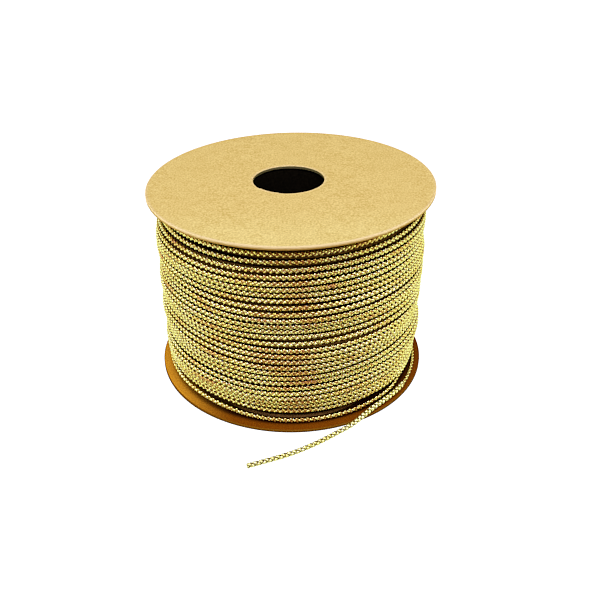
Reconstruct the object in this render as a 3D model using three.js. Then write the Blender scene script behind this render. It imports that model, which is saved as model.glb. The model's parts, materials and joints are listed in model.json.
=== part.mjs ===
// A reel of braided metallic cord: two kraft-card flanges on a card tube, the cord wound between
// them, and its cut end lying loose in front. Millimetres, +Z up. The origin is on the surface that
// the reel stands on, under the middle of its bore, and the loose end lies on the -Y side.
import * as THREE from "three";

// Driving dimensions of the card reel
const FLANGE_DIAMETER = 80;
const FLANGE_THICKNESS = 1.0;
const FLANGE_EDGE = 0.15; // softened corner of the die-cut edge
const FLANGE_SEGMENTS = 64;
const BORE_DIAMETER = 20;
const REEL_HEIGHT = 57; // from the surface to the middle of the top flange's upper face
const TOP_FLANGE_LEAN = THREE.MathUtils.degToRad(1.0); // the top flange dips towards -X
const TUBE_INSET = 0.6; // the tube's inner wall stands back from the flanges' holes
const TUBE_WALL = 1.8;
const TUBE_SEGMENTS = 40;
const SEAT_GAP = 0.3; // clearance between pieces that rest on each other
const SURFACE_GAP = 0.03; // the loose end's clearance over the surface that it lies on

// Driving dimensions of the cord
const CORD_DIAMETER = 1.5;
const CORD_SIDES = 8;
const CORD_STEPS = 24;
const TURNS_UP_THE_REEL = 30;
const TURN_GROOVE = 0.5; // depth of the valley between one turn and the next
const TURN_SHOULDERS = [0.28, 0.72]; // where a turn's flattened crown starts and ends, as shares of its height
const WINDING_SEGMENTS = 40;

// The wound form's radius at shares of its height: full in the middle, drawn in at both flanges
const WOUND_FORM = [
  { share: 0.0, radius: 37.3 },
  { share: 0.045, radius: 37.5 },
  { share: 0.1, radius: 38.2 },
  { share: 0.3, radius: 38.4 },
  { share: 0.65, radius: 38.5 },
  { share: 0.88, radius: 38.0 },
  { share: 1.0, radius: 37.4 },
];

// How unevenly the turns lie: each wave shifts from turn to turn and repeats round the reel
const LIFT_WAVES = [
  { height: 0.34, perTurn: 2.4, roundReel: 1 },
  { height: 0.22, perTurn: 3.9, roundReel: -2 },
];
const SWELL_WAVES = [
  { height: 0.16, perTurn: 1.7, roundReel: 2 },
  { height: 0.12, perTurn: 4.4, roundReel: -3 },
];
const STEADY_TURNS = 3; // turns next to a flange, which it holds ever more level

// The loose end, from where it leaves the winding, over the flange's rim, to its cut tip
const CORD_ON_FLANGE = FLANGE_THICKNESS + SEAT_GAP + CORD_DIAMETER / 2;
const CORD_ON_SURFACE = CORD_DIAMETER / 2 + SURFACE_GAP;
const LOOSE_END_ROUTE = [
  { x: 32.4, y: -21.1, z: CORD_ON_FLANGE + 0.05 },
  { x: 30.5, y: -23.8, z: CORD_ON_FLANGE + 0.05 },
  { x: 28.4, y: -26.3, z: CORD_ON_FLANGE + 0.03 },
  { x: 26.1, y: -28.7, z: CORD_ON_FLANGE + 0.01 },
  { x: 23.7, y: -31.0, z: CORD_ON_FLANGE },
  { x: 21.6, y: -33.3, z: CORD_ON_FLANGE },
  { x: 19.3, y: -36.0, z: CORD_ON_FLANGE },
  { x: 16.7, y: -38.7, z: 1.9 },
  { x: 13.0, y: -41.2, z: 1.5 },
  { x: 8.8, y: -43.8, z: 1.0 },
  { x: 5.2, y: -46.0, z: 0.8 },
  { x: 1.4, y: -48.2, z: CORD_ON_SURFACE },
  { x: -2.2, y: -49.9, z: CORD_ON_SURFACE },
  { x: -5.4, y: -51.2, z: CORD_ON_SURFACE },
  { x: -8.4, y: -52.4, z: CORD_ON_SURFACE },
  { x: -11.0, y: -53.4, z: CORD_ON_SURFACE },
];

// Sizes that follow from the driving dimensions
const flangeRadius = FLANGE_DIAMETER / 2;
const boreRadius = BORE_DIAMETER / 2;
const tubeInner = boreRadius + TUBE_INSET;
const tubeOuter = tubeInner + TUBE_WALL;
const topFlangeUnderside = REEL_HEIGHT - FLANGE_THICKNESS;
const windingInner = tubeOuter + SEAT_GAP;
const windingBottom = FLANGE_THICKNESS + SEAT_GAP;
const windingHeight = topFlangeUnderside - SEAT_GAP - windingBottom;
const turnHeight = windingHeight / TURNS_UP_THE_REEL;

const kraftCard = new THREE.MeshStandardMaterial({ color: 0xdcbf85, roughness: 0.92, metalness: 0 });
const tubeCard = new THREE.MeshStandardMaterial({ color: 0x4a3d24, roughness: 0.95, metalness: 0 });
const goldCord = new THREE.MeshStandardMaterial({ color: 0xc2a544, roughness: 0.42, metalness: 0.65 });

// Turn a closed section, given as radius and height, about the reel's own axis.
function turned(section, segments) {
  const outline = section.map(([radius, height]) => new THREE.Vector2(radius, height));
  outline.push(outline[0].clone());
  return new THREE.LatheGeometry(outline, segments).rotateX(Math.PI / 2);
}

function flange(name) {
  const geometry = turned(
    [
      [boreRadius, 0],
      [flangeRadius - FLANGE_EDGE, 0],
      [flangeRadius, FLANGE_EDGE],
      [flangeRadius, FLANGE_THICKNESS - FLANGE_EDGE],
      [flangeRadius - FLANGE_EDGE, FLANGE_THICKNESS],
      [boreRadius, FLANGE_THICKNESS],
    ],
    FLANGE_SEGMENTS,
  );
  const mesh = new THREE.Mesh(geometry, kraftCard);
  mesh.name = name;
  return mesh;
}

// The tube stops short of the leaning flange's lowest point above it.
function coreTube() {
  const dip = tubeOuter * Math.tan(TOP_FLANGE_LEAN);
  const bottom = FLANGE_THICKNESS + SEAT_GAP;
  const top = topFlangeUnderside - SEAT_GAP - dip;
  const geometry = turned(
    [
      [tubeInner, bottom],
      [tubeOuter, bottom],
      [tubeOuter, top],
      [tubeInner, top],
    ],
    TUBE_SEGMENTS,
  );
  const mesh = new THREE.Mesh(geometry, tubeCard);
  mesh.name = "core_tube";
  return mesh;
}

function woundRadius(share) {
  const above = WOUND_FORM.findIndex((row) => row.share >= share);
  if (above <= 0) return WOUND_FORM[0].radius;
  const low = WOUND_FORM[above - 1];
  const high = WOUND_FORM[above];
  return THREE.MathUtils.mapLinear(share, low.share, high.share, low.radius, high.radius);
}

function waves(table, turn, angle) {
  const sum = table.reduce(
    (total, wave) => total + wave.height * Math.sin(wave.perTurn * turn + wave.roundReel * angle),
    0,
  );
  const fromFlange = Math.min(turn, TURNS_UP_THE_REEL - turn);
  return sum * THREE.MathUtils.clamp(fromFlange / STEADY_TURNS, 0, 1);
}

// The section of the wound form: a plain inner wall, and a rounded crown for each turn outside.
function windingSection() {
  const section = [[windingInner, windingBottom]];
  for (let turn = 0; turn < TURNS_UP_THE_REEL; turn += 1) {
    for (const rise of [0, ...TURN_SHOULDERS]) {
      const share = (turn + rise) / TURNS_UP_THE_REEL;
      const valley = rise === 0 ? TURN_GROOVE : 0;
      section.push([woundRadius(share) - valley, windingBottom + share * windingHeight]);
    }
  }
  section.push([woundRadius(1) - TURN_GROOVE, windingBottom + windingHeight]);
  section.push([windingInner, windingBottom + windingHeight]);
  return section;
}

// Raise and lower the turns round the reel, then lean them with the top flange.
function layUnevenly(geometry) {
  const points = geometry.attributes.position;
  const point = new THREE.Vector3();
  for (let index = 0; index < points.count; index += 1) {
    point.fromBufferAttribute(points, index);
    const share = (point.z - windingBottom) / windingHeight;
    const radius = Math.hypot(point.x, point.y);
    if (radius > windingInner + TURN_GROOVE) {
      const angle = Math.atan2(point.y, point.x);
      const turn = share * TURNS_UP_THE_REEL;
      const swell = 1 + waves(SWELL_WAVES, turn, angle) / radius;
      point.x *= swell;
      point.y *= swell;
      point.z += waves(LIFT_WAVES, turn, angle);
    }
    point.z += share * point.x * Math.tan(TOP_FLANGE_LEAN);
    points.setXYZ(index, point.x, point.y, point.z);
  }
  return geometry;
}

function winding() {
  const geometry = layUnevenly(turned(windingSection(), WINDING_SEGMENTS));
  const mesh = new THREE.Mesh(geometry, goldCord);
  mesh.name = "winding";
  return mesh;
}

function looseEnd() {
  const section = new THREE.Shape(
    Array.from({ length: CORD_SIDES }, (_, side) => {
      const angle = ((side + 0.5) / CORD_SIDES) * 2 * Math.PI;
      const radius = CORD_DIAMETER / 2;
      return new THREE.Vector2(radius * Math.cos(angle), radius * Math.sin(angle));
    }),
  );
  const route = LOOSE_END_ROUTE.map(({ x, y, z }) => new THREE.Vector3(x, y, z));
  const extrudePath = new THREE.CatmullRomCurve3(route, false, "centripetal");
  const geometry = new THREE.ExtrudeGeometry(section, { steps: CORD_STEPS, extrudePath });
  const mesh = new THREE.Mesh(geometry, goldCord);
  mesh.name = "loose_end";
  return mesh;
}

const topFlange = new THREE.Group();
topFlange.position.z = topFlangeUnderside;
topFlange.rotation.y = -TOP_FLANGE_LEAN;
topFlange.add(flange("flange_top"));

const reel = new THREE.Group();
reel.add(flange("flange_bottom"), topFlange, coreTube(), winding(), looseEnd());

export default reel;
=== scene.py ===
import json
import math

import bpy
import numpy as np
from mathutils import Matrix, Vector


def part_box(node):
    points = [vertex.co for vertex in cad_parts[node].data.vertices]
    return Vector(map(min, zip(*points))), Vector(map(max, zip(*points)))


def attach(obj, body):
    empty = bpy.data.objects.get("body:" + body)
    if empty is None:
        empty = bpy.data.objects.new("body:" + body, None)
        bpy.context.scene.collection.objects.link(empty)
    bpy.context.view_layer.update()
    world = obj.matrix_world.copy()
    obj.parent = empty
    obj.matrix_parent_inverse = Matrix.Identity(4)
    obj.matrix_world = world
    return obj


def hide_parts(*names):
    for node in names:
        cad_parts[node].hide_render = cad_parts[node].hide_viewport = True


# A reel of braided metallic cord between two card flanges, with one loose end on the surface in front
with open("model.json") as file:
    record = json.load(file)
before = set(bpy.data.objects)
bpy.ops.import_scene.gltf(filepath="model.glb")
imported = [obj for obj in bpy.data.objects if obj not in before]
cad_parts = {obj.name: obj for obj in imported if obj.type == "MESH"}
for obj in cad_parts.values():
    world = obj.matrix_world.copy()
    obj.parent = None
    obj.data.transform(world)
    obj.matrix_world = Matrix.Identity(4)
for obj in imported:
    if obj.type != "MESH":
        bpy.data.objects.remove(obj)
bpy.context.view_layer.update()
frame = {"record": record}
chance = np.random.default_rng(20)

MM = 0.001
FULL_TURN = 2 * math.pi


def node_box(node):
    """Low and high corner of a solid, in millimetres."""
    low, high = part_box(node)
    return np.array(low) / MM, np.array(high) / MM


def mount(name):
    return next(row for row in frame["record"]["mounts"] if row["name"] == name)


# The card, in millimetres: sizes from the frame, then those that only the photograph shows
FLANGE_RADIUS = node_box("flange_bottom")[1][0]
CARD_THICKNESS = node_box("flange_bottom")[1][2]
REEL_HEIGHT = mount("top_face")["pos_m"][2] / MM
TOP_LEAN = math.asin(-mount("top_face")["axis"][0])
TUBE_OUTER = node_box("core_tube")[1][0]
TUBE_BOTTOM = node_box("core_tube")[0][2]
TUBE_TOP = node_box("core_tube")[1][2]
TUBE_WALL = 1.8
BORE_RADIUS = 10.0
CARD_CHAMFER = 0.18  # of the cut edges
HOLE_SHIFT = (-0.6, 1.0)  # the punched holes are a little off centre
HOLE_NICK = {"from": -140, "to": -105, "depth": 0.3}  # where the punch left some card, by angle in degrees
FLANGE_SEGMENTS = 256
CORE_SEGMENTS = 128

# The cord: a round braid of metallised yarn with four columns of crossings
CORD_DIAMETER = 1.5
STRAND_PAIRS = 2  # strands that run each way round
PICK = 1.56  # length of cord from one crossing to the next in the same column
STRAND_HALF_WIDTH = 0.34  # as a share of the distance between strands
STRAND_ROUNDNESS = 2.0  # of its crown: more is flatter
STRAND_DIP = 0.35  # how far a strand sinks where it goes under the next, as a share of the relief
FREE_RELIEF = 0.36  # depth of the valleys between the loose end's strands, as a share of the radius
FREE_PICK_RINGS = 12  # rings of points in a pick, so that the points fall on the strands

# The wound cord
TURN_WIDTH = 1.48  # a turn, pressed a little flatter than the loose end
TURN_DEPTH = 1.30
TURN_PICKS = 151
TURN_RELIEF = 0.46
TURN_PICK_RINGS = 8
TURN_COLUMNS = (-8, 3)  # of the points round a turn: all but its back
COLUMN_OFFSET = 0.15  # turns about the cord, so that two columns face out of the reel and up
ROLL_SPREAD = 0.09  # how far the cord rolls about itself as it goes on, in turns
ROLL_LIMIT = 0.10
OUTER_PIECES = 5
BURIED_PICK_RINGS = 2  # the layer under the outer one is plain
BURIED_COLUMNS = (-2, 1)

# The layers that never show: the radius where they end, and the plain drum that stands for most of them
GROUND_RADIUS = 35.75
GROUND_FALL = 1.6  # how much lower they lie next to the flanges
# Their lumps: how often round the reel, millimetres up the reel, height and where they start
GROUND_WAVES = [
    {"round": 1, "rise": 11.5, "height": 0.24, "start": 0.4},
    {"round": -2, "rise": 8.5, "height": 0.18, "start": 2.1},
    {"round": 3, "rise": 17.0, "height": 0.22, "start": 4.0},
    {"round": 2, "rise": 30.0, "height": 0.18, "start": 1.2},
]
DRUM_RADIUS = 34.0
DRUM_FOOT = {"radius": 34.4, "height": 3.0, "taper_to": 5.0}  # where it stands on the bottom flange
DRUM_CLEARANCE = {"tube": 0.4, "flange": 0.1, "top_turn": 0.4}

# The winding: one buried layer, wound up the reel, and the outer one, wound down it
LOWEST_TURN = CARD_THICKNESS + 0.8
HIGHEST_TURN = REEL_HEIGHT - CARD_THICKNESS - 0.85
PASSES = [
    {"turns": 31, "start": LOWEST_TURN, "end": HIGHEST_TURN, "unevenness": 0.12, "wander": 0.12},
    {"turns": 29, "start": HIGHEST_TURN, "end": 2.9, "unevenness": 0.16, "wander": 0.15},
]
OUTER_TURNS = PASSES[-1]["turns"] + 1
LEAST_PITCH = 1.75  # from one outer turn to the next
CREST_LIMIT = 39.0  # turns that ride over others are pulled down to this radius
CREST_GIVE = 0.4  # the pull starts this far below it

# How each turn finds its place among those below it
STATIONS = 120  # places round the reel where a turn is laid
PACE_WAVE = 0.7  # turns over which the winder's pace changes
STRAY_WAVE = 0.35  # turns over which the cord strays from its line
SLIDE_REACH = 0.24  # how far a turn may slide up or down to lie deeper
SLIDE_STEP = 0.04
GUIDE_PULL = 1.5  # cost of lying off the winder's line, against lying deeper
STIFFNESS = 7  # cost of a bend
NOT_LAID = -1e3  # radius and height of a turn that isn't there yet
BURIED = slice(0, -OUTER_TURNS * STATIONS)
OUTER = slice(-OUTER_TURNS * STATIONS, None)
ABOVE_LAST = slice(-OUTER_TURNS * STATIONS, -STATIONS)
LAST = slice(-STATIONS, None)

# The last turn, by the turns left to where it leaves the reel: it rests on the flange at the front
LAST_TURN = [
    {"left": 0.0, "height": 1.85},
    {"left": 0.06, "height": 1.9},
    {"left": 0.2, "height": 2.5},
    {"left": 0.4, "height": 3.4},
    {"left": 0.6, "height": 4.1},
    {"left": 0.73, "height": 4.0},
    {"left": 0.77, "height": 3.4},
    {"left": 0.82, "height": 2.3},
    {"left": 0.88, "height": 1.95},
    {"left": 0.94, "height": 2.2},
    {"left": 1.0, "height": 2.9},
]
LAST_TURN_RADIUS = 37.2
LEAVING = 0.14  # turns over which it runs into the loose end

# Where the turns above the last one stand off it or sag, by angle round the reel in degrees
LAST_TURN_GAPS = [
    {"angle": -134, "reach": 11, "gap": 2.2},
    {"angle": -90, "reach": 20, "gap": -0.35},
    {"angle": -50, "reach": 8, "gap": 1.3},
]
GAP_FADE = 28  # turns over which the rest of the winding takes up such a gap
GAP_ONSET = 0.25  # turns over which it opens
# Where turns lie deeper: those over the last one at the front, and the buried ones behind each open gap
FRONT_SAG = {"angle": -90, "reach": 22, "depth": 0.9, "top": 7.5}
GAP_SINKS = [
    {"angle": row["angle"], "reach": 1.3 * row["reach"], "depth": 1.8, "top": 9.0}
    for row in LAST_TURN_GAPS if row["gap"] > 0
]
SINK_FADE = 3.0  # height over which they come back out

# The loose end's route, as in the part's source
CORD_ON_FLANGE = 2.05
CORD_ON_SURFACE = 0.78
LOOSE_END_ROUTE = [
    (32.4, -21.1, CORD_ON_FLANGE + 0.05),
    (30.5, -23.8, CORD_ON_FLANGE + 0.05),
    (28.4, -26.3, CORD_ON_FLANGE + 0.03),
    (26.1, -28.7, CORD_ON_FLANGE + 0.01),
    (23.7, -31.0, CORD_ON_FLANGE),
    (21.6, -33.3, CORD_ON_FLANGE),
    (19.3, -36.0, CORD_ON_FLANGE),
    (16.7, -38.7, 1.9),
    (13.0, -41.2, 1.5),
    (8.8, -43.8, 1.0),
    (5.2, -46.0, 0.8),
    (1.4, -48.2, CORD_ON_SURFACE),
    (-2.2, -49.9, CORD_ON_SURFACE),
    (-5.4, -51.2, CORD_ON_SURFACE),
    (-8.4, -52.4, CORD_ON_SURFACE),
    (-11.0, -53.4, CORD_ON_SURFACE),
]
ROUTE_SAMPLES = 40  # of the curve between two of these points

# The gold, by how much it shines: copper to pale lemon
GOLD_TONES = [
    (0.05, (0.64, 0.28, 0.05)),
    (0.32, (0.94, 0.79, 0.16)),
    (0.6, (0.98, 0.94, 0.25)),
    (0.95, (0.99, 0.96, 0.42)),
]
# The red-brown of a painted reflection of the room
REFLECTED_BROWN = (0.66, 0.28, 0.03, 1)
# A painted reflection of the dark room in front: the brown band at the front of the winding, where it is
# across the reel, and how far in front it starts
REFLECTION_BAND = {"middle": -2.0, "core": 4.0, "edge": 12.0, "from": -20.0, "to": -30.0}
REFLECTION_ELSEWHERE = 0.1  # share of that brown on the rest of it
VALLEY_METAL = 0.7  # how metallic the yarn is between strands, as a share of its crests

# The card's colours
KRAFT_TONES = [
    (0.36, (0.56, 0.38, 0.085)),
    (0.50, (0.70, 0.51, 0.145)),
    (0.64, (0.82, 0.63, 0.20)),
]
FLECK_TONE = (0.46, 0.27, 0.05, 1)
RIM_TONE = (0.90, 0.72, 0.48, 1)
# Its zones, by distance from the outer edge, from the hole or, for the side with painted light, from the axis
OUTER_RIM = {"width": 0.9, "full": 0.2}
HOLE_RIM = 1.0
# Nearer the winding than this the card gets a painted shadow
OPEN_CARD = {"from": 3.4, "to": 1.6}  # card that the winding leaves in the light
# The side with painted light: where it starts and is full, and how much less painted shadow it has
LIT_SIDE = {"from": 14.0, "to": 38.0, "less_shade": 0.7}

# The camera, from the rims of both flanges in the 600 pixel square photograph
IMAGE_WIDTH = 600
FOCAL_PIXELS = 749.65
CAMERA_PLACE = (2.553, -194.88, 137.89)
CAMERA_PITCH = 0.5518
NEAREST_SEEN = 10  # nothing closer to the camera is drawn

# The studio: what the camera sees, and what the gold mirrors, by distance from the reel and by direction
WHITE = (1.4, 1.4, 1.4, 1)
ROOM = (0.19, 0.075, 0.06, 1)
NEAR_FLOOR = (0.94, 0.99, 0.54, 1)
FAR_FLOOR = (0.20, 0.13, 0.08, 1)
FRONT_FLOOR = (0.13, 0.035, 0.028, 1)
FLOOR_PAINT = (0.05, 0.05, 0.05, 1)
FLOOR_REACH = 3000
FLOOR_DROP = 0.02  # below the reel, so that the two don't share a plane
FLOOR_FADE = {"from": 200, "to": 900}
FRONT_SECTOR = {"edge": -0.80, "core": -0.94}  # by the forward part of the direction
FRONT_START = {"from": 52, "to": 64}

# The picture's finish
DISPLAY_GAMMA = 2.2
CURVE = [(0.5, 0.51), (0.78, 0.76), (1.0, 0.935)]
SHARPENING = 0.055


# Meshes from arrays

def new_piece(name, points, faces, material, maps=None):
    """A smooth mesh object from points in millimetres and equal-sided faces, with named maps per corner."""
    mesh = bpy.data.meshes.new(name)
    mesh.from_pydata(np.asarray(points) * MM, [], np.asarray(faces))
    for map_name, places in (maps or {}).items():
        layer = mesh.uv_layers.new(name=map_name)
        layer.uv.foreach_set("vector", np.asarray(places, np.float32).ravel())
    mesh.shade_smooth()
    mesh.materials.append(material)
    piece = bpy.data.objects.new(name, mesh)
    bpy.context.scene.collection.objects.link(piece)
    return piece


def show(piece, slot, *nodes):
    """The piece moves with the reel and stands for these solids. slot is not used."""
    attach(piece, "root")
    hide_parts(*nodes)


def turned(section, segments):
    """Points and faces of a closed section, given as radius and height, turned about the reel's axis."""
    section = np.asarray(section, float)
    count = len(section)
    angle = np.arange(segments) * FULL_TURN / segments
    radius, height = section[:, 0], section[:, 1]
    points = np.stack([
        np.cos(angle)[:, None] * radius,
        np.sin(angle)[:, None] * radius,
        np.broadcast_to(height, (segments, count)),
    ], -1).reshape(-1, 3)
    ring = np.arange(segments)[:, None]
    along = np.arange(count)[None, :]
    next_ring = (ring + 1) % segments
    after = (along + 1) % count
    corners = [ring * count + along, next_ring * count + along,
               next_ring * count + after, ring * count + after]
    return points, np.stack(np.broadcast_arrays(*corners), -1).reshape(-1, 4)


# The braid

def braid_height(along, around):
    """Height, 0 to 1, of the braid's surface: strands cross over and under each other in turn.

    along counts picks down the cord, and around counts turns about it."""
    right = STRAND_PAIRS * around - along
    left = STRAND_PAIRS * around + along
    right_strand = np.round(right)
    left_strand = np.round(left)
    right_on_top = (right_strand + left_strand) % 2 == 0
    across = np.where(right_on_top, right - right_strand, left - left_strand)
    lengthwise = np.where(right_on_top, left - left_strand, right - right_strand)
    crown = np.clip(1 - np.abs(across / STRAND_HALF_WIDTH) ** STRAND_ROUNDNESS, 0, 1)
    arch = 1 - STRAND_DIP * (1 - np.cos(math.pi * lengthwise))
    return crown * arch


def frames_along(path, outward):
    """Unit vectors out of the reel and sideways at each point of a path."""
    tangent = np.gradient(path, axis=0)
    tangent /= np.linalg.norm(tangent, axis=1, keepdims=True)
    outward = outward - (outward * tangent).sum(1, keepdims=True) * tangent
    outward /= np.linalg.norm(outward, axis=1, keepdims=True)
    return outward, np.cross(tangent, outward)


def braided_tube(path, outward, size, twist, first_ring, pick_rings, columns, relief):
    """Points, triangles and maps of a braided cord along a path.

    size is its width and depth, twist the turns by which the braid is rolled about the cord at each ring, and
    columns the first and last of the points round it. A stretch that leaves some out has a flat back."""
    sides = STRAND_PAIRS * pick_rings
    whole = columns[1] - columns[0] == sides
    rings = len(path)
    ring, column = np.meshgrid(np.arange(rings), np.arange(columns[0], columns[1] + 1), indexing="ij")
    along = (first_ring + ring) / pick_rings
    around = column / sides
    swell = 1 - relief * (1 - braid_height(along, around))
    angle = (around + twist[:, None]) * FULL_TURN
    out, side = frames_along(path, outward)
    points = (path[:, None, :]
              + out[:, None, :] * (size[1] / 2 * np.cos(angle) * swell)[..., None]
              + side[:, None, :] * (size[0] / 2 * np.sin(angle) * swell)[..., None])
    if whole:
        points = points[:, :-1]
    count = points.shape[1]
    stretches = [strand_triangles(along, around, pick_rings)]
    if not whole:
        stretches.append(back_triangles(rings, count))
    stretches.append(end_triangles(rings, count))
    rows = np.concatenate([stretch[0] for stretch in stretches])
    places = np.concatenate([stretch[1] for stretch in stretches])
    triangles = rows * count + places % count
    braid = np.stack([along[rows, places], around[rows, places]], -1)
    return points.reshape(-1, 3), triangles, {"braid": braid, "OFBake": strips(rows, places, rings, count)}


def strand_triangles(along, around, pick_rings):
    """Rings and places of the corners of the braid's triangles, with a strand's edge on every diagonal."""
    row, place = np.indices((along.shape[0] - 1, along.shape[1] - 1)).reshape(2, -1)
    middle_along = along[row, place] + 0.5 / pick_rings
    middle_around = around[row, place] + 0.5 / (STRAND_PAIRS * pick_rings)
    right = np.round(STRAND_PAIRS * middle_around - middle_along)
    left = np.round(STRAND_PAIRS * middle_around + middle_along)
    leans_right = ((right + left) % 2 == 0)[:, None]
    corner_rows = np.stack([row, row + 1, row + 1, row], -1)
    corner_places = np.stack([place, place, place + 1, place + 1], -1)
    first = np.where(leans_right, [0, 1, 2], [0, 1, 3])
    second = np.where(leans_right, [0, 2, 3], [1, 2, 3])
    corners = np.concatenate([first, second])
    rows = np.take_along_axis(np.tile(corner_rows, (2, 1)), corners, 1)
    places = np.take_along_axis(np.tile(corner_places, (2, 1)), corners, 1)
    return rows, places


def back_triangles(rings, count):
    """The same for a flat back, from the last point of each ring to its first."""
    ring = np.arange(rings - 1)
    first = np.zeros_like(ring)
    last = first + count - 1
    rows = [np.stack([ring, ring + 1, ring + 1], -1), np.stack([ring, ring + 1, ring], -1)]
    places = [np.stack([last, last, first], -1), np.stack([last, first, first], -1)]
    return np.concatenate(rows), np.concatenate(places)


def end_triangles(rings, count):
    """The same for the cut ends, as a fan over the first ring and one over the last."""
    place = np.arange(1, count - 1)
    start = np.zeros_like(place)
    rows = [np.zeros((len(place), 3), int), np.full((len(place), 3), rings - 1)]
    places = [np.stack([start, place, place + 1], -1), np.stack([start, place + 1, place], -1)]
    return np.concatenate(rows), np.concatenate(places)


def strips(rows, places, rings, count):
    """A map for baking: the cord cut into equal lengths that lie side by side in a square."""
    margin = 0.05
    strip_rings = max(2, math.ceil(math.sqrt(rings * count)))
    strip_count = math.ceil(rings / strip_rings)
    strip = rows.min(1, keepdims=True) // strip_rings
    u = (rows - strip * strip_rings) / (strip_rings + 1)
    v = (strip + margin + (1 - 2 * margin) * places / count) / strip_count
    return np.stack([u, np.broadcast_to(v, u.shape)], -1)


# How the cord lies on the reel

def drift(count, wavelength):
    """A smooth wandering line of unit spread, with a new random level every wavelength."""
    levels = chance.normal(size=count // wavelength + 4)
    place = np.arange(count) / wavelength
    step = np.floor(place).astype(int)
    share = place - step
    ease = share * share * (3 - 2 * share)
    return levels[step] * (1 - ease) + levels[step + 1] * ease


def smoothed(values, reach):
    """The values, each averaged with its neighbours within a few times the reach."""
    half = 3 * reach
    weights = np.exp(-0.5 * (np.arange(-half, half + 1) / reach) ** 2)
    padded = np.pad(values, half, mode="edge")
    return np.convolve(padded, weights / weights.sum(), mode="valid")


def near(angle, middle, reach):
    """A smooth share, 1 at the middle angle."""
    off = (angle - middle + 180) % 360 - 180
    return np.exp(-0.5 * (off / reach) ** 2)


def station_angles(count, end_angle):
    """Degrees round the reel at each station, up to where the cord leaves it."""
    return np.degrees(end_angle) + 360 * np.arange(count)[::-1] / STATIONS


def guide_heights(end_angle):
    """Where the winder's guide lays the cord, station by station: up the reel, down it and round its foot."""
    heights = []
    for row in PASSES:
        count = row["turns"] * STATIONS
        pace = np.exp(row["unevenness"] * drift(count, int(PACE_WAVE * STATIONS)))
        progress = np.cumsum(pace) / pace.sum()
        strays = row["wander"] * drift(count, int(STRAY_WAVE * STATIONS))
        heights.append(row["start"] + (row["end"] - row["start"]) * progress + strays)
    left = np.arange(STATIONS)[::-1] / STATIONS
    heights.append(np.interp(left, [row["left"] for row in LAST_TURN], [row["height"] for row in LAST_TURN]))
    heights = np.concatenate(heights)
    angle = station_angles(len(heights), end_angle)
    open_gaps(heights[ABOVE_LAST], angle[ABOVE_LAST])
    heights = np.clip(heights, LOWEST_TURN, HIGHEST_TURN)
    spread_turns(heights[OUTER].reshape(OUTER_TURNS, STATIONS))
    return heights


def open_gaps(heights, angle):
    """Moves the turns above the last one up or down at its gaps, less and less up the reel."""
    left = np.arange(len(heights))[::-1] / STATIONS
    fade = np.clip(1 - left / GAP_FADE, 0, 1) * np.clip(left / GAP_ONSET, 0, 1)
    for gap in LAST_TURN_GAPS:
        heights += gap["gap"] * near(angle, gap["angle"], gap["reach"]) * fade


def spread_turns(heights):
    """Lays the first outer turn along the top flange, then moves turns that are too close to the next."""
    heights[0] = np.linspace(HIGHEST_TURN, HIGHEST_TURN - LEAST_PITCH, STATIONS)
    for upper in range(OUTER_TURNS - 2):
        np.minimum(heights[upper + 1], heights[upper] - LEAST_PITCH, out=heights[upper + 1])
    for lower in range(OUTER_TURNS - 1, 0, -1):
        np.maximum(heights[lower - 1], heights[lower] + LEAST_PITCH, out=heights[lower - 1])


def ground(station, heights):
    """Radius of the layers that never show: lower at the flanges, and a little lumpy."""
    middle = (LOWEST_TURN + HIGHEST_TURN) / 2
    share = (heights - middle) / (HIGHEST_TURN - middle)
    angle = station * FULL_TURN / STATIONS
    swell = 0
    for wave in GROUND_WAVES:
        phase = wave["round"] * angle + FULL_TURN * heights / wave["rise"] + wave["start"]
        swell = swell + wave["height"] * np.sin(phase)
    return GROUND_RADIUS - GROUND_FALL * share ** 4 + swell


def lay_cord(end_angle):
    """Radius and height of the cord's middle at each station, each turn sinking between those below it."""
    guide = guide_heights(end_angle)
    count = len(guide)
    turns = count // STATIONS + 1
    laid_radius = np.full((STATIONS, turns), NOT_LAID)
    laid_height = np.full((STATIONS, turns), NOT_LAID)
    radius, height = np.zeros(count), np.zeros(count)
    slide = np.arange(-SLIDE_REACH, SLIDE_REACH + SLIDE_STEP / 2, SLIDE_STEP)
    before = guide[0]
    for index in range(count):
        station = index % STATIONS
        tries = np.clip(guide[index] + slide, LOWEST_TURN, HIGHEST_TURN)
        apart = np.abs(tries[:, None] - laid_height[station][None, :]) / TURN_WIDTH
        lift = TURN_DEPTH * np.sqrt(np.clip(1 - apart ** 2, 0, 1))
        contact = np.where(apart < 1, laid_radius[station][None, :] + lift, 0).max(1)
        contact = np.maximum(contact, ground(station, tries) + TURN_DEPTH / 2)
        cost = contact + GUIDE_PULL * (tries - guide[index]) ** 2 + STIFFNESS * (tries - before) ** 2
        best = int(cost.argmin())
        before = tries[best]
        radius[index], height[index] = contact[best], before
        laid_radius[station, index // STATIONS] = contact[best]
        laid_height[station, index // STATIONS] = before
    height = smoothed(height, 2)
    radius = smoothed(np.maximum(radius, smoothed(radius, 3)), 2)
    settle(radius, height, station_angles(count, end_angle))
    return radius, height


def settle(radius, height, angle):
    """Pulls down the turns that ride too high, holds up the last one and lets those beside it lie deeper."""
    most = CREST_LIMIT - TURN_DEPTH / 2 - CREST_GIVE
    eased = most + CREST_GIVE * np.tanh((radius[OUTER] - most) / CREST_GIVE)
    radius[OUTER] = np.minimum(radius[OUTER], eased)
    radius[LAST] = np.maximum(radius[LAST], LAST_TURN_RADIUS)
    sink(radius[ABOVE_LAST], height[ABOVE_LAST], angle[ABOVE_LAST], FRONT_SAG)
    for place in GAP_SINKS:
        sink(radius[BURIED], height[BURIED], angle[BURIED], place)


def sink(radius, height, angle, place):
    """Lets turns lie deeper near an angle round the reel, up to a height."""
    low = np.clip((place["top"] - height) / SINK_FADE, 0, 1)
    radius -= place["depth"] * low * near(angle, place["angle"], place["reach"])


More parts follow.
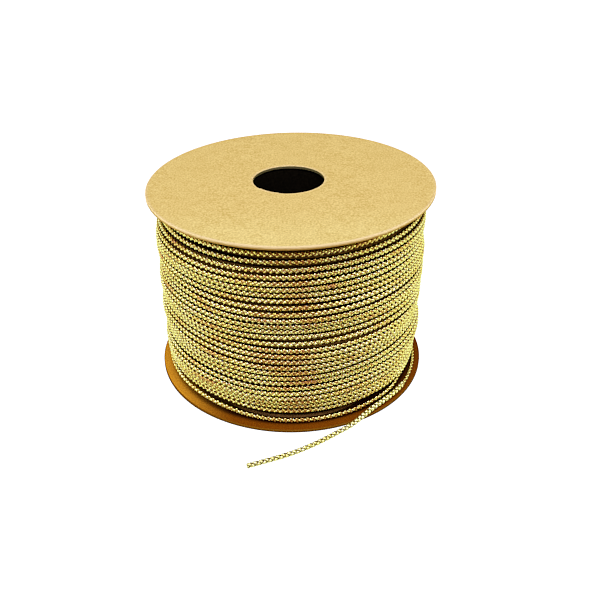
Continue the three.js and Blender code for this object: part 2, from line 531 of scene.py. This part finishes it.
def run_into(radius, height, exit_point):
    """Leads the end of the winding to the point where the loose end starts."""
    left = np.arange(len(radius))[::-1]
    leaving = np.clip(1 - left / (STATIONS * LEAVING), 0, 1) ** 2
    radius += leaving * (math.hypot(exit_point[0], exit_point[1]) - radius)
    height += leaving * (exit_point[2] - height)


def helix(radius, height, rings_per_turn, end_angle):
    """Path and outward directions of the laid cord, leaned with the top flange."""
    stations = np.arange(len(radius))
    rings = np.arange(0, len(radius) - 1, STATIONS / rings_per_turn)
    angle = end_angle + (len(radius) - 1 - rings) * FULL_TURN / STATIONS
    reach = max(1, round(rings_per_turn / STATIONS))
    r = smoothed(np.interp(rings, stations, radius), reach)
    z = smoothed(np.interp(rings, stations, height), reach)
    outward = np.stack([np.cos(angle), np.sin(angle), np.zeros_like(angle)], -1)
    path = outward * r[:, None]
    path[:, 2] = z + z / REEL_HEIGHT * path[:, 0] * math.tan(TOP_LEAN)
    return path, outward


def route_path(points, spacing):
    """A smooth curve through given points, as points an even distance apart, and its length."""
    points = np.asarray(points, float)
    ends = np.vstack([2 * points[0] - points[1], points, 2 * points[-1] - points[-2]])
    t = np.linspace(0, 1, ROUTE_SAMPLES, endpoint=False)[:, None]
    stretches = []
    for a, b, c, d in zip(ends, ends[1:], ends[2:], ends[3:]):
        stretches.append(0.5 * (2 * b + (c - a) * t + (2 * a - 5 * b + 4 * c - d) * t ** 2
                                + (3 * b - a - 3 * c + d) * t ** 3))
    curve = np.vstack([*stretches, points[-1:]])
    travelled = np.concatenate([[0], np.cumsum(np.linalg.norm(np.diff(curve, axis=0), axis=1))])
    count = round(travelled[-1] / spacing) + 1
    even = np.linspace(0, travelled[-1], count)
    return np.stack([np.interp(even, travelled, curve[:, axis]) for axis in range(3)], -1), travelled[-1]


# Materials

class Nodes:
    """Short calls for building one material's nodes."""

    def __init__(self, name):
        self.material = bpy.data.materials.new(name)
        self.material.use_nodes = True
        self.tree = self.material.node_tree
        self.shader = self.tree.nodes["Principled BSDF"]

    def node(self, kind, **settings):
        made = self.tree.nodes.new(kind)
        for key, value in settings.items():
            setattr(made, key, value)
        return made

    def put(self, socket, value):
        if isinstance(value, bpy.types.NodeSocket):
            self.tree.links.new(value, socket)
        else:
            socket.default_value = value

    def finish(self, settings):
        """Puts values on the shader's sockets by name and gives the material."""
        for name, value in settings.items():
            self.put(self.shader.inputs[name], value)
        return self.material

    def math(self, operation, first, second=0.0, third=0.0):
        made = self.node("ShaderNodeMath", operation=operation)
        for socket, value in zip(made.inputs, (first, second, third)):
            self.put(socket, value)
        return made.outputs[0]

    def vector(self, operation, first, second=(0, 0, 0)):
        made = self.node("ShaderNodeVectorMath", operation=operation)
        self.put(made.inputs[0], first)
        if operation == "SCALE":
            self.put(made.inputs["Scale"], second)
        else:
            self.put(made.inputs[1], second)
        return made.outputs["Value" if operation in ("LENGTH", "DOT_PRODUCT") else 0]

    def split(self, vector):
        made = self.node("ShaderNodeSeparateXYZ")
        self.put(made.inputs[0], vector)
        return made.outputs["X"], made.outputs["Y"], made.outputs["Z"]

    def join(self, x, y=0.0):
        made = self.node("ShaderNodeCombineXYZ")
        self.put(made.inputs[0], x)
        self.put(made.inputs[1], y)
        return made.outputs[0]

    def blend(self, share, first, second, kind="RGBA"):
        made = self.node("ShaderNodeMix", data_type=kind)
        self.put(made.inputs["Factor"], share)
        self.put(made.inputs["A"], first)
        self.put(made.inputs["B"], second)
        return made.outputs["Result"]

    def steps(self, value, low, high):
        """A smooth step from 0 at low to 1 at high."""
        made = self.node("ShaderNodeMapRange", interpolation_type="SMOOTHSTEP")
        self.put(made.inputs["Value"], value)
        self.put(made.inputs["From Min"], low)
        self.put(made.inputs["From Max"], high)
        return made.outputs["Result"]

    def noise(self, place, scale, detail, roughness):
        made = self.node("ShaderNodeTexNoise")
        self.put(made.inputs["Vector"], place)
        made.inputs["Scale"].default_value = scale
        made.inputs["Detail"].default_value = detail
        made.inputs["Roughness"].default_value = roughness
        return made.outputs["Fac"]

    def ramp(self, value, stops):
        made = self.node("ShaderNodeValToRGB")
        elements = made.color_ramp.elements
        while len(elements) < len(stops):
            elements.new(0.5)
        for element, (place, colour) in zip(elements, stops):
            element.position = place
            element.color = (*colour, 1)
        self.put(made.inputs["Fac"], value)
        return made.outputs["Color"]

    def bump(self, height, distance, normal=None):
        """Surface relief of a height in millimetres."""
        made = self.node("ShaderNodeBump")
        made.inputs["Strength"].default_value = 1.0
        made.inputs["Distance"].default_value = distance * MM
        self.put(made.inputs["Height"], height)
        if normal is not None:
            self.put(made.inputs["Normal"], normal)
        return made.outputs["Normal"]

    def map(self, name):
        return self.node("ShaderNodeUVMap", uv_map=name).outputs["UV"]

    def millimetres(self):
        place = self.node("ShaderNodeTexCoord").outputs["Object"]
        return self.vector("SCALE", place, 1 / MM)


def gold_cord(name, least_shine, metal, valley_shade, reflection_share):
    """Metallised yarn: every stretch of a strand has its own tone and catches the light its own way.

    least_shine keeps dull tones out, metal is how metallic its crests are, then comes the colour between
    strands, which is painted shade, and last how strongly patches of it take a painted brown reflection of
    the room, most of all at the front of the reel."""
    n = Nodes(name)
    along, around, _ = n.split(n.map("braid"))
    turns = n.math("MULTIPLY", around, float(STRAND_PAIRS))
    right = n.math("SUBTRACT", turns, along)
    left = n.math("ADD", turns, along)
    right_strand = n.math("ROUND", right)
    left_strand = n.math("ROUND", left)
    from_right = n.math("SUBTRACT", right, right_strand)
    from_left = n.math("SUBTRACT", left, left_strand)
    left_on_top = n.math("FLOORED_MODULO", n.math("ADD", right_strand, left_strand), 2.0)
    across = n.blend(left_on_top, from_right, from_left, "FLOAT")
    lengthwise = n.blend(left_on_top, from_left, from_right, "FLOAT")

    # The height of the strand on top, as in the mesh
    share = n.math("DIVIDE", across, STRAND_HALF_WIDTH)
    falls = n.math("POWER", n.math("ABSOLUTE", share), STRAND_ROUNDNESS)
    crown = n.math("MAXIMUM", n.math("SUBTRACT", 1.0, falls), 0.0)
    swing = n.math("COSINE", n.math("MULTIPLY", lengthwise, math.pi))
    height = n.math("MULTIPLY", crown, n.math("MULTIPLY_ADD", swing, STRAND_DIP, 1 - STRAND_DIP))

    # Its tone: a lot for each stretch of a strand, and dull streaks some picks long
    lot = n.node("ShaderNodeTexWhiteNoise", noise_dimensions="2D")
    n.put(lot.inputs["Vector"], n.join(right_strand, left_strand))
    luck = lot.outputs["Value"]
    streaks = n.steps(n.noise(n.join(along), scale=0.11, detail=2.0, roughness=0.5), 0.33, 0.57)
    shine = n.math("MULTIPLY_ADD", luck, 0.35, n.math("MULTIPLY", streaks, 0.65))
    tone = n.ramp(n.math("MAXIMUM", shine, least_shine), GOLD_TONES)
    # Painted reflection: brown patches, most of them at the front where the gold mirrors the dark room, which
    # also narrow the crests there
    mirrored_brown = n.math("MULTIPLY", painted_reflection_patches(n), reflection_share)
    tone = n.blend(n.math("MULTIPLY", mirrored_brown, 0.35), tone, REFLECTED_BROWN)
    crest = n.steps(n.math("MULTIPLY_ADD", mirrored_brown, -0.38, height), 0.03, 0.32)

    # Its facets: each stretch leans a little, and has fine filaments
    lean = n.vector("SCALE", n.vector("SUBTRACT", lot.outputs["Color"], (0.5, 0.5, 0.5)), 0.06)
    facing = n.vector("ADD", n.node("ShaderNodeNewGeometry").outputs["Normal"], lean)
    filaments = n.math("SINE", n.math("MULTIPLY", across, 40.0))
    return n.finish({
        # Between strands the colour is painted shade; only the crests take the tone
        "Base Color": n.blend(crest, (*valley_shade, 1), tone),
        "Metallic": n.math("MULTIPLY_ADD", crest, (1 - VALLEY_METAL) * metal, VALLEY_METAL * metal),
        "Roughness": n.math("MULTIPLY_ADD", luck, -0.06, 0.27),
        "Coat Weight": crest,
        "Coat Roughness": 0.12,
        "Coat IOR": 1.8,
        "Normal": n.bump(filaments, 0.010, n.vector("NORMALIZE", facing)),
    })


def painted_reflection_patches(n):
    """Share of painted brown reflection by place on the reel: flat patches, most of them in a band at the
    front.
    """
    place = n.millimetres()
    x, y, _ = n.split(place)
    off_middle = n.math("ABSOLUTE", n.math("SUBTRACT", x, REFLECTION_BAND["middle"]))
    in_band = n.steps(off_middle, REFLECTION_BAND["edge"], REFLECTION_BAND["core"])
    in_front = n.math("MULTIPLY", in_band, n.steps(y, REFLECTION_BAND["from"], REFLECTION_BAND["to"]))
    flat_place = n.vector("MULTIPLY", place, (0.5, 0.5, 1.3))
    patches = n.steps(n.noise(flat_place, scale=0.14, detail=2.0, roughness=0.5), 0.42, 0.58)
    return n.math("MULTIPLY", n.math("MULTIPLY_ADD", in_front, 1 - REFLECTION_ELSEWHERE, REFLECTION_ELSEWHERE), patches)


def kraft_face(name, tint, rim_paleness, shade, lit_side, lit_tint):
    """Brown card: pulp flecks and short fibres in a matte sheet, paler where the cutter pressed its rims.

    shade is how dark the painted shadow under the winding gets. Towards the side given as a direction, the
    card takes the tint given for it, which is painted light."""
    n = Nodes(name)
    place = n.millimetres()
    cloud = n.noise(place, scale=0.25, detail=3.0, roughness=0.6)
    grain = n.noise(place, scale=2.0, detail=3.0, roughness=0.7)
    pulp = n.math("MULTIPLY_ADD", cloud, 0.18, n.math("MULTIPLY", grain, 0.82))
    flecks = n.steps(n.noise(place, scale=0.95, detail=3.0, roughness=0.65), 0.60, 0.70)
    colour = n.blend(n.math("MULTIPLY", flecks, 0.34), n.ramp(pulp, KRAFT_TONES), FLECK_TONE)

    flat_place = n.vector("MULTIPLY", place, (1, 1, 0))
    radius = n.vector("LENGTH", flat_place)
    from_hole = n.vector("LENGTH", n.vector("SUBTRACT", flat_place, (*HOLE_SHIFT, 0)))
    outer_rim = n.steps(radius, FLANGE_RADIUS - OUTER_RIM["width"], FLANGE_RADIUS - OUTER_RIM["full"])
    hole_rim = n.steps(from_hole, BORE_RADIUS + HOLE_RIM, BORE_RADIUS)
    rims = n.math("MAXIMUM", outer_rim, hole_rim)
    colour = n.blend(n.math("MULTIPLY", rims, rim_paleness), colour, RIM_TONE)

    # Painted shadow on the card under the winding, weaker towards the side with painted light
    open_air = n.steps(radius, FLANGE_RADIUS - OPEN_CARD["from"], FLANGE_RADIUS - OPEN_CARD["to"])
    to_side = n.steps(n.vector("DOT_PRODUCT", place, lit_side), LIT_SIDE["from"], LIT_SIDE["to"])
    side_shade = n.math("MULTIPLY_ADD", to_side, -LIT_SIDE["less_shade"] * shade, shade)
    shadow = n.math("MULTIPLY", n.math("SUBTRACT", 1.0, open_air), side_shade)
    # Painted light: a paler tint towards one side
    side_tint = n.blend(to_side, (*tint, 1), (*lit_tint, 1))
    side_tint = n.vector("SCALE", side_tint, n.math("SUBTRACT", 1.0, shadow))
    return n.finish({
        "Base Color": n.vector("MULTIPLY", colour, side_tint),
        "Roughness": 0.9,
        "Specular IOR Level": 0.04,
        "Normal": n.bump(grain, 0.012),
    })


def card_edge(name, lit, shaded):
    """The cut edge of the card: its plies in thin level lines, with painted light on its upper part and
    painted shade on its lower part.
    """
    n = Nodes(name)
    flat_place = n.vector("MULTIPLY", n.millimetres(), (0.5, 0.5, 7.0))
    plies = n.noise(flat_place, scale=1.0, detail=3.0, roughness=0.6)
    _, height, _ = n.split(n.map("card"))
    level = n.math("MULTIPLY_ADD", n.math("SUBTRACT", plies, 0.5), 0.5, height)
    return n.finish({
        # Painted light above, painted shade below, split at a wavy level
        "Base Color": n.blend(n.steps(level, 0.36, 0.60), (*shaded, 1), (*lit, 1)),
        "Roughness": 0.95,
        "Specular IOR Level": 0.0,
        "Normal": n.bump(plies, 0.06),
    })


def shaded_board(name, dark, pale):
    """Matte board or packed yarn that gets hardly any light, painted dark as shade."""
    n = Nodes(name)
    grain = n.noise(n.millimetres(), scale=1.6, detail=4.0, roughness=0.65)
    return n.finish({
        "Base Color": n.ramp(grain, [(0.3, dark), (0.7, pale)]),
        "Roughness": 0.95,
        "Specular IOR Level": 0.0,
        "Normal": n.bump(grain, 0.05),
    })


# Between the strands both golds have painted shade, near black on the loose end
GOLD = gold_cord("gold_cord", least_shine=0.0, metal=1.0, valley_shade=(0.42, 0.16, 0.03), reflection_share=1.0)
FREE_GOLD = gold_cord("gold_cord_free", least_shine=0.5, metal=0.6, valley_shade=(0.10, 0.05, 0.01), reflection_share=0.0)
# The buried turns: dark brown painted shade in place of the gold
BURIED_CORD_SHADE = shaded_board("gold_cord_buried_shade", dark=(0.05, 0.025, 0.007), pale=(0.18, 0.09, 0.024))
# The top card with painted light towards the front
KRAFT = kraft_face("kraft_top", tint=(1.01, 1.01, 1.01), rim_paleness=0.2, shade=0.0,
                   lit_side=(0, -1, 0), lit_tint=(1.07, 1.14, 1.21))
# The bottom card in painted shade: dark amber for the shade and the gold's reflected light
SHADED_KRAFT = kraft_face("kraft_bottom_shaded", tint=(0.245, 0.082, 0.0), rim_paleness=0.0, shade=0.75,
                         lit_side=(-1, 0, 0), lit_tint=(0.98, 0.56, 0.10))
# The top card's cut edge: card colour where painted light falls, painted shade on its lower part
LIT_EDGE = card_edge("edge_top_lit", lit=(0.88, 0.66, 0.30), shaded=(0.46, 0.26, 0.06))
# The bottom card's cut edge: dark brown painted shade, darker still on its lower part
SHADED_EDGE = card_edge("edge_bottom_shaded", lit=(0.17, 0.065, 0.005), shaded=(0.08, 0.04, 0.01))
# The hole's cut walls: dark olive painted shade
SHADED_HOLE_EDGE = card_edge("edge_hole_shaded", lit=(0.17, 0.145, 0.06), shaded=(0.12, 0.10, 0.04))
# The core tube: card painted near black as the shade inside it
TUBE_SHADE = shaded_board("tube_card", dark=(0.001, 0.0008, 0.0004), pale=(0.004, 0.003, 0.0015))
# The drum of deeper layers: near-black painted shade
DEEP_CORD_SHADE = shaded_board("gold_cord_deep_shade", dark=(0.03, 0.014, 0.004), pale=(0.08, 0.037, 0.011))


# The reel's pieces

def loose_end():
    path, length = route_path(LOOSE_END_ROUTE, PICK / FREE_PICK_RINGS)
    outward = np.tile([0.0, 0.0, 1.0], (len(path), 1))
    points, triangles, maps = braided_tube(
        path, outward, size=(CORD_DIAMETER, CORD_DIAMETER), twist=np.zeros(len(path)), first_ring=0,
        pick_rings=FREE_PICK_RINGS, columns=(0, STRAND_PAIRS * FREE_PICK_RINGS), relief=FREE_RELIEF)
    piece = new_piece("cord_loose_end", points, triangles, FREE_GOLD, maps)
    show(piece, "gold_cord", "loose_end")


def winding():
    """The outer turns, braided in full, the plain layer under them and the drum in the middle."""
    exit_point = np.array(LOOSE_END_ROUTE[0])
    exit_angle = math.atan2(exit_point[1], exit_point[0])
    radius, height = lay_cord(exit_angle)
    run_into(radius, height, exit_point)
    turn_rings = TURN_PICKS * TURN_PICK_RINGS
    path, outward = helix(radius, height, turn_rings, exit_angle)
    rolls = ROLL_SPREAD * drift(len(path), turn_rings // 2)
    roll = COLUMN_OFFSET + np.clip(rolls, -ROLL_LIMIT, ROLL_LIMIT)
    size = (TURN_WIDTH, TURN_DEPTH)
    first = PASSES[0]["turns"] * turn_rings
    cuts = np.linspace(first, len(path) - 1, OUTER_PIECES + 1).astype(int)
    for number, (low, high) in enumerate(zip(cuts, cuts[1:]), 1):
        part = slice(low, high + 1)
        points, triangles, maps = braided_tube(
            path[part], outward[part], size, twist=roll[part], first_ring=low,
            pick_rings=TURN_PICK_RINGS, columns=TURN_COLUMNS, relief=TURN_RELIEF)
        piece = new_piece(f"cord_turns_{number}", points, triangles, GOLD, maps)
        show(piece, "gold_cord", "winding")
    under = slice(0, first + 1, TURN_PICK_RINGS // BURIED_PICK_RINGS)
    points, triangles, maps = braided_tube(
        path[under], outward[under], size, twist=roll[under], first_ring=0,
        pick_rings=BURIED_PICK_RINGS, columns=BURIED_COLUMNS, relief=0.0)
    piece = new_piece("cord_turns_under", points, triangles, BURIED_CORD_SHADE, maps)
    show(piece, "gold_cord", "winding")
    drum()


def drum():
    """A plain drum that stands for the deeper layers."""
    inside = TUBE_OUTER + DRUM_CLEARANCE["tube"]
    bottom = CARD_THICKNESS + DRUM_CLEARANCE["flange"]
    top = HIGHEST_TURN - DRUM_CLEARANCE["top_turn"]
    section = [
        (inside, bottom),
        (DRUM_FOOT["radius"], bottom),
        (DRUM_FOOT["radius"], DRUM_FOOT["height"]),
        (DRUM_RADIUS, DRUM_FOOT["taper_to"]),
        (DRUM_RADIUS, top),
        (inside, top),
    ]
    points, faces = turned(section, CORE_SEGMENTS)
    show(new_piece("cord_buried_layers", points, faces, DEEP_CORD_SHADE), "gold_cord", "winding")


def flange(name, node, underside, lean, face, below, cut):
    """A card disc with chamfered edges, in the materials of its face, its underside and its rim."""
    # Round the section from the hole's lower edge: each point, and the material of the side that starts there
    face_material, cut_material, hole_material, below_material = range(4)
    outline = [
        (BORE_RADIUS, CARD_CHAMFER, hole_material),
        (BORE_RADIUS + CARD_CHAMFER, 0, below_material),
        (FLANGE_RADIUS - CARD_CHAMFER, 0, cut_material),
        (FLANGE_RADIUS, CARD_CHAMFER, cut_material),
        (FLANGE_RADIUS, CARD_THICKNESS - CARD_CHAMFER, cut_material),
        (FLANGE_RADIUS - CARD_CHAMFER, CARD_THICKNESS, face_material),
        (BORE_RADIUS + CARD_CHAMFER, CARD_THICKNESS, face_material),
        (BORE_RADIUS, CARD_THICKNESS - CARD_CHAMFER, hole_material),
    ]
    section = np.array([(radius, height) for radius, height, _ in outline])
    points, faces = turned(section, FLANGE_SEGMENTS)
    by_hole = np.tile(section[:, 0] < FLANGE_RADIUS / 2, FLANGE_SEGMENTS)
    bearing = np.degrees(np.arctan2(points[:, 1], points[:, 0]))
    left_over = by_hole & (bearing > HOLE_NICK["from"]) & (bearing < HOLE_NICK["to"])
    points[left_over, :2] *= 1 - HOLE_NICK["depth"] / BORE_RADIUS
    points[by_hole, :2] += HOLE_SHIFT
    share = points[faces][:, :, 2] / CARD_THICKNESS
    x, z = points[:, 0].copy(), points[:, 2].copy()
    points[:, 0] = x * math.cos(lean) - z * math.sin(lean)
    points[:, 2] = x * math.sin(lean) + z * math.cos(lean) + underside
    piece = new_piece(name, points, faces, face, {"card": np.stack([np.zeros_like(share), share], -1)})
    for material in (cut, SHADED_HOLE_EDGE, below):
        piece.data.materials.append(material)
    sides = np.tile([material for _, _, material in outline], FLANGE_SEGMENTS)
    piece.data.polygons.foreach_set("material_index", sides.astype(np.int32))
    piece.data.shade_flat()
    show(piece, "kraft_card", node)


def core():
    inner = TUBE_OUTER - TUBE_WALL
    section = [(inner, TUBE_BOTTOM), (TUBE_OUTER, TUBE_BOTTOM), (TUBE_OUTER, TUBE_TOP), (inner, TUBE_TOP)]
    points, faces = turned(section, CORE_SEGMENTS)
    show(new_piece("card_core", points, faces, TUBE_SHADE), "tube_card", "core_tube")


# The studio

def floor():
    """White to the camera. In the gold it is lemon near the reel, brown far off and dark red in front."""
    n = Nodes("white_floor")
    place = n.millimetres()
    distance = n.vector("LENGTH", place)
    _, ahead, _ = n.split(n.vector("NORMALIZE", place))
    near_reel = n.steps(distance, FLOOR_FADE["to"], FLOOR_FADE["from"])
    around = n.blend(near_reel, FAR_FLOOR, NEAR_FLOOR)
    in_sector = n.steps(ahead, FRONT_SECTOR["edge"], FRONT_SECTOR["core"])
    in_front = n.math("MULTIPLY", in_sector, n.steps(distance, FRONT_START["from"], FRONT_START["to"]))
    mirrored = n.blend(in_front, around, FRONT_FLOOR)
    seen = n.node("ShaderNodeLightPath").outputs["Is Camera Ray"]
    material = n.finish({
        "Base Color": FLOOR_PAINT,
        "Roughness": 1.0,
        "Specular IOR Level": 0.0,
        "Emission Color": n.blend(seen, mirrored, WHITE),
        "Emission Strength": 1.0,
    })
    corners = [(-1, -1), (1, -1), (1, 1), (-1, 1)]
    points = [(x * FLOOR_REACH, y * FLOOR_REACH, -FLOOR_DROP) for x, y in corners]
    new_piece("floor", points, [(0, 1, 2, 3)], material)


def lamp(name, place, aim, size, brightness, colour):
    """A soft panel of even brightness that faces a point, in millimetres."""
    width, height = (side * MM for side in size)
    light = bpy.data.lights.new(name, "AREA")
    light.shape = "RECTANGLE"
    light.size = width
    light.size_y = height
    light.energy = brightness * math.pi * width * height
    light.color = colour
    panel = bpy.data.objects.new(name, light)
    bpy.context.scene.collection.objects.link(panel)
    panel.location = Vector(place) * MM
    panel.rotation_euler = (Vector(aim) - Vector(place)).to_track_quat("-Z", "Y").to_euler()
    panel.visible_camera = False


def lamps():
    lamp("left", place=(-600, -100, 220), aim=(0, -100, 220), size=(1900, 440),
         brightness=1.5, colour=(0.96, 1.03, 0.64))
    lamp("right", place=(600, 0, 220), aim=(0, 0, 220), size=(1800, 440),
         brightness=1.36, colour=(0.96, 1.03, 0.58))
    lamp("front", place=(0, -450, 750), aim=(0, 0, 30), size=(1000, 300),
         brightness=3.8, colour=(0.95, 1.0, 1.6))
    lamp("top", place=(0, -200, 860), aim=(0, 0, 30), size=(420, 420),
         brightness=6.8, colour=(1, 1.01, 1.1))


def surroundings():
    """White to the camera. In the gold it is a dim red-brown room."""
    world = bpy.data.worlds.new("studio")
    world.use_nodes = True
    nodes, links = world.node_tree.nodes, world.node_tree.links
    seen = nodes.new("ShaderNodeLightPath").outputs["Is Camera Ray"]
    mix = nodes.new("ShaderNodeMix")
    mix.data_type = "RGBA"
    mix.inputs["A"].default_value = ROOM
    mix.inputs["B"].default_value = WHITE
    links.new(seen, mix.inputs["Factor"])
    links.new(mix.outputs["Result"], nodes["Background"].inputs["Color"])
    bpy.context.scene.world = world


def grade():
    """Softens the highlights and sharpens the picture a little, as the photograph's own finish does."""
    scene = bpy.context.scene
    scene.view_settings.view_transform = "Standard"
    scene.use_nodes = True
    tree = scene.node_tree
    tree.nodes.clear()

    def then(kind, image, **values):
        node = tree.nodes.new(kind)
        for key, value in values.items():
            if key in node.inputs:
                node.inputs[key].default_value = value
            else:
                setattr(node, key, value)
        tree.links.new(image, node.inputs["Image"])
        return node

    picture = tree.nodes.new("CompositorNodeRLayers").outputs["Image"]
    picture = then("CompositorNodeGamma", picture, Gamma=1 / DISPLAY_GAMMA).outputs["Image"]
    levels = then("CompositorNodeCurveRGB", picture)
    curve = levels.mapping.curves[3]
    curve.points[1].location = CURVE[-1]
    for before, after in CURVE[:-1]:
        curve.points.new(before, after)
    levels.mapping.extend = "EXTRAPOLATED"
    levels.mapping.update()
    picture = levels.outputs["Image"]
    picture = then("CompositorNodeFilter", picture, filter_type="SHARPEN", Fac=SHARPENING).outputs["Image"]
    picture = then("CompositorNodeGamma", picture, Gamma=DISPLAY_GAMMA).outputs["Image"]
    then("CompositorNodeComposite", picture)


def camera():
    data = bpy.data.cameras.new("camera")
    data.lens = FOCAL_PIXELS / IMAGE_WIDTH * data.sensor_width
    data.clip_start = NEAREST_SEEN * MM
    view = bpy.data.objects.new("camera", data)
    view.location = [x * MM for x in CAMERA_PLACE]
    view.rotation_euler = (math.pi / 2 - CAMERA_PITCH, 0, 0)
    bpy.context.scene.collection.objects.link(view)
    bpy.context.scene.camera = view


camera()
loose_end()
winding()
flange("card_flange_bottom", "flange_bottom", underside=0.0, lean=0.0,
       face=SHADED_KRAFT, below=KRAFT, cut=SHADED_EDGE)
# The top card's underside gets the same painted shade, which the top turns mirror
flange("card_flange_top", "flange_top", underside=REEL_HEIGHT - CARD_THICKNESS, lean=TOP_LEAN,
       face=KRAFT, below=SHADED_KRAFT, cut=LIT_EDGE)
core()
floor()
lamps()
surroundings()
grade()
